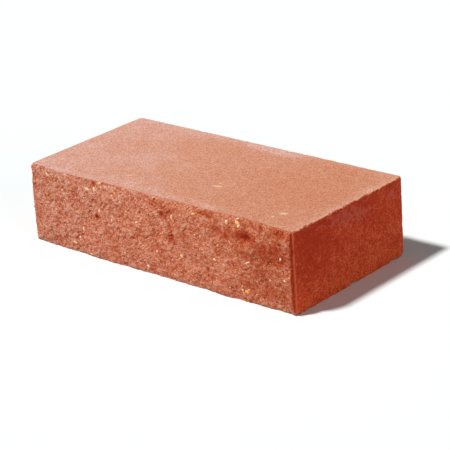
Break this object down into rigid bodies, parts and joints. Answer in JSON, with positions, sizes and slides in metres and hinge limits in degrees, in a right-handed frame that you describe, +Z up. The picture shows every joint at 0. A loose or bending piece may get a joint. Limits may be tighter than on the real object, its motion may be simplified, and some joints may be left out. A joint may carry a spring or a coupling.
{
  "type": "split-face concrete brick",
  "caption": "Solid pressed concrete facing brick with one long face split rough, smooth moulded bed, top, back and ends, and an upright splitting groove in each end beside the rough face.",
  "frame": {"origin": "middle of the bed face, at the centre of the brick's footprint", "axes": "+X along the brick's length, -Y out of the split face, +Y out of the smooth back face, +Z up out of the top face"},
  "size_m": [0.25, 0.1242, 0.06],
  "materials": {
    "red_concrete": "matt, pigmented through; smooth and fine-grained where pressed, coarse where split"
  },
  "bodies": {
    "root": {"split_face_brick": "red_concrete"}
  },
  "joints": []
}
